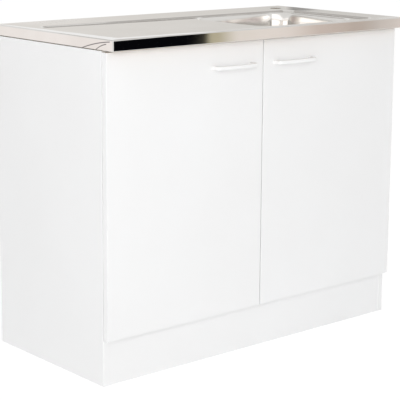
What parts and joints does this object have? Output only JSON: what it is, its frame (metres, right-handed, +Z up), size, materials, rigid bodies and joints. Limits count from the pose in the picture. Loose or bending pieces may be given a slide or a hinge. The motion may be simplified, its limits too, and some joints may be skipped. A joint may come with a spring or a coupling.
{
  "type": "kitchen sink unit",
  "caption": "Free-standing kitchen sink unit: white base cabinet with two hinged doors under a folded steel top with a drainer, a bowl, a lift-out strainer and a bottle trap.",
  "frame": {"origin": "on the floor, in the middle under the sink top", "axes": "+X toward the bowl side, +Y toward the wall, +Z up; the doors face -Y"},
  "size_m": [1, 0.5, 0.85],
  "materials": {
    "sink_steel": "satin stainless sheet",
    "white_board": "white coated chipboard",
    "bare_wood": "planed bare wood",
    "die_cast_zinc": "as cast",
    "zinc_plated_steel": "bright zinc plated",
    "nickel_plated_steel": "nickel plated",
    "white_plastic": "smooth moulded",
    "waste_plastic": "moulded, light grey-white",
    "rubber": "matt black"
  },
  "bodies": {
    "root": {"batten_front": "bare_wood", "batten_rear": "bare_wood", "bottom_panel": "white_board", "cam_bolts": "zinc_plated_steel", "cam_locks": "die_cast_zinc", "dowels": "bare_wood", "front_rail": "white_board", "hinge_arm_left_bottom": "nickel_plated_steel", "hinge_arm_left_top": "nickel_plated_steel", "hinge_arm_pins": "nickel_plated_steel", "hinge_arm_right_bottom": "nickel_plated_steel", "hinge_arm_right_top": "nickel_plated_steel", "hinge_arm_screws": "zinc_plated_steel", "hinge_plate_left_bottom": "nickel_plated_steel", "hinge_plate_left_top": "nickel_plated_steel", "hinge_plate_right_bottom": "nickel_plated_steel", "hinge_plate_right_top": "nickel_plated_steel", "hinge_plate_screws": "zinc_plated_steel", "outlet_pipe": "waste_plastic", "plinth_board": "white_board", "rear_rail_bottom": "white_board", "rear_rail_top": "white_board", "side_battens": "bare_wood", "side_panel_left": "white_board", "side_panel_right": "white_board", "sink_bowl": "sink_steel", "sink_deck": "sink_steel", "sink_plate_screws": "zinc_plated_steel", "sink_plates": "zinc_plated_steel", "strainer_dish": "sink_steel", "strainer_gasket": "rubber", "strainer_screw": "sink_steel", "tail_pipe": "waste_plastic", "trap_body": "waste_plastic", "trap_cup": "waste_plastic", "trap_nuts": "waste_plastic", "trap_washers": "rubber", "waste_body": "waste_plastic"},
    "door_left": {"door_left": "white_board", "handle_left": "white_plastic", "handle_screws_left": "zinc_plated_steel", "bumpers_left": "rubber", "hinge_cups_left": "nickel_plated_steel", "cup_pins_left": "nickel_plated_steel", "cup_screws_left": "zinc_plated_steel"},
    "outer_links_left": {"outer_links_left": "nickel_plated_steel"},
    "inner_links_left": {"inner_links_left": "nickel_plated_steel"},
    "door_right": {"door_right": "white_board", "handle_right": "white_plastic", "handle_screws_right": "zinc_plated_steel", "bumpers_right": "rubber", "hinge_cups_right": "nickel_plated_steel", "cup_pins_right": "nickel_plated_steel", "cup_screws_right": "zinc_plated_steel"},
    "outer_links_right": {"outer_links_right": "nickel_plated_steel"},
    "inner_links_right": {"inner_links_right": "nickel_plated_steel"},
    "strainer_basket": {"strainer_basket": "sink_steel", "basket_knob": "sink_steel", "basket_plug": "rubber"}
  },
  "joints": [
    {"name": "outer_links_left_turn", "type": "hinge", "parent": "root", "child": "outer_links_left", "pos_m": [-0.46, -0.18, 0.467], "axis": [0, 0, -1], "range_deg": [-22, 0]},
    {"name": "door_left_swing", "type": "hinge", "parent": "outer_links_left", "child": "door_left", "pos_m": [-0.4895, -0.2075, 0.467], "axis": [0, 0, -1], "range_deg": [0, 116.85]},
    {"name": "inner_links_left_turn", "type": "hinge", "parent": "root", "child": "inner_links_left", "pos_m": [-0.4668, -0.2067, 0.467], "axis": [0, 0, -1], "range_deg": [-29.6, 0]},
    {"name": "outer_links_right_turn", "type": "hinge", "parent": "root", "child": "outer_links_right", "pos_m": [0.46, -0.18, 0.467], "axis": [0, 0, 1], "range_deg": [-22, 0]},
    {"name": "door_right_swing", "type": "hinge", "parent": "outer_links_right", "child": "door_right", "pos_m": [0.4895, -0.2075, 0.467], "axis": [0, 0, 1], "range_deg": [0, 116.85]},
    {"name": "inner_links_right_turn", "type": "hinge", "parent": "root", "child": "inner_links_right", "pos_m": [0.4668, -0.2067, 0.467], "axis": [0, 0, 1], "range_deg": [-29.6, 0]},
    {"name": "strainer_basket_lift", "type": "slide", "parent": "root", "child": "strainer_basket", "axis": [0, 0, 1], "range_m": [0, 0.18]}
  ],
  "couplings": [
    {"joint": "outer_links_left_turn", "follows": "door_left_swing", "ratio": -0.18699},
    {"joint": "inner_links_left_turn", "follows": "door_left_swing", "ratio": -0.25203},
    {"joint": "outer_links_right_turn", "follows": "door_right_swing", "ratio": -0.18699},
    {"joint": "inner_links_right_turn", "follows": "door_right_swing", "ratio": -0.25203}
  ]
}
